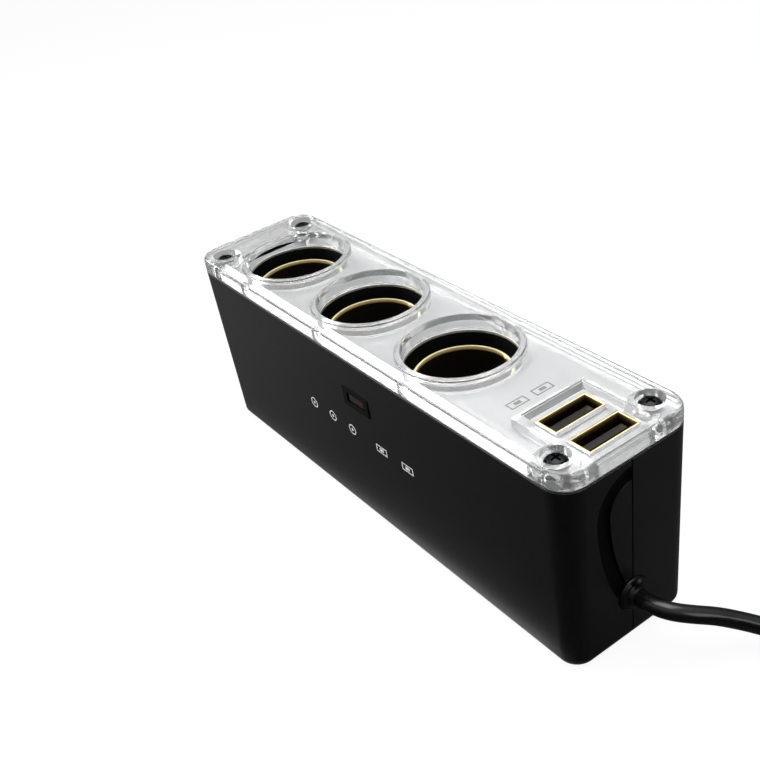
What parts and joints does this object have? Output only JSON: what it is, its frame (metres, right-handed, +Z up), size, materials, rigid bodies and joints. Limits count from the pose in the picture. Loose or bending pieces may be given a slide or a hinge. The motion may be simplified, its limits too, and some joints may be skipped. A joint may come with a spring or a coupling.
{
  "type": "car power socket splitter",
  "caption": "Box with a row of round vehicle power sockets and charging ports under a clear cover, with a thin lead that ends in a vehicle plug.",
  "frame": {"origin": "on the plane it rests on, under the middle of the housing without its lead", "axes": "+X along the row of sockets towards the charging ports and the lead, +Y towards the rear side, +Z up out of the sockets"},
  "size_m": [0.313, 0.0484, 0.0514],
  "materials": {
    "housing_plastic": "satin",
    "clear_acrylic": "polished",
    "plate_metal": "brushed",
    "screw_steel": "satin",
    "socket_plastic": "matte",
    "brass": "bright",
    "tinned_metal": "dull",
    "red_insulation": "satin",
    "black_insulation": "satin",
    "board_laminate": "satin",
    "copper_winding": "bright",
    "capacitor_sleeve": "satin",
    "chip_plastic": "matte",
    "port_metal": "bright",
    "port_plastic": "satin",
    "bezel_plastic": "gloss",
    "lens_red": "gloss",
    "base_laminate": "matte",
    "gland_rubber": "satin",
    "lead_jacket": "gloss",
    "tie_fabric": "matte",
    "plug_plastic": "satin",
    "bright_steel": "bright",
    "nickel": "bright",
    "fuse_glass": "clear"
  },
  "bodies": {
    "splitter": {"front_shell": "housing_plastic", "rear_shell": "housing_plastic", "clear_cover": "clear_acrylic", "face_plate": "plate_metal", "cover_screws": "screw_steel", "socket_sleeve_1": "socket_plastic", "socket_sleeve_2": "socket_plastic", "socket_sleeve_3": "socket_plastic", "socket_shell_1": "brass", "socket_shell_2": "brass", "socket_shell_3": "brass", "socket_base_1": "base_laminate", "socket_base_2": "base_laminate", "socket_base_3": "base_laminate", "centre_contact_1": "brass", "centre_contact_2": "brass", "centre_contact_3": "brass", "positive_strip": "brass", "negative_strip": "tinned_metal", "positive_wire": "red_insulation", "negative_wire": "black_insulation", "circuit_board": "board_laminate", "inductor": "copper_winding", "capacitors": "capacitor_sleeve", "regulator_chip": "chip_plastic", "port_shell_1": "port_metal", "port_shell_2": "port_metal", "port_tongue_1": "port_plastic", "port_tongue_2": "port_plastic", "port_contacts_1": "port_metal", "port_contacts_2": "port_metal", "lamp_bezel": "bezel_plastic", "lamp_lens": "lens_red", "lamp_bulb": "lens_red", "cord_gland": "gland_rubber", "lead_run": "lead_jacket", "lead_coil": "lead_jacket", "lead_tail": "lead_jacket", "coil_tie": "tie_fabric", "plug_relief": "gland_rubber", "plug_upper": "plug_plastic", "plug_lower": "plug_plastic", "plug_screw": "bright_steel", "plug_cap": "plug_plastic", "plug_wires": "red_insulation", "tip_spring": "bright_steel", "fuse_contact": "brass"},
    "plug_tip_and_fuse": {"plug_tip": "nickel", "fuse": "fuse_glass"},
    "front_side_contact": {"side_contact_front": "nickel"},
    "rear_side_contact": {"side_contact_rear": "nickel"}
  },
  "joints": [
    {"name": "tip_slide", "type": "slide", "parent": "splitter", "child": "plug_tip_and_fuse", "axis": [-1, 0, 0], "range_m": [0, 0.004], "stiffness_N_per_m": 900, "springref_m": -0.003, "deforming": ["tip_spring"]},
    {"name": "front_contact_slide", "type": "slide", "parent": "splitter", "child": "front_side_contact", "axis": [0, 1, 0], "range_m": [0, 0.0011], "stiffness_N_per_m": 1500, "springref_m": -0.001},
    {"name": "rear_contact_slide", "type": "slide", "parent": "splitter", "child": "rear_side_contact", "axis": [0, -1, 0], "range_m": [0, 0.0011], "stiffness_N_per_m": 1500, "springref_m": -0.001}
  ]
}
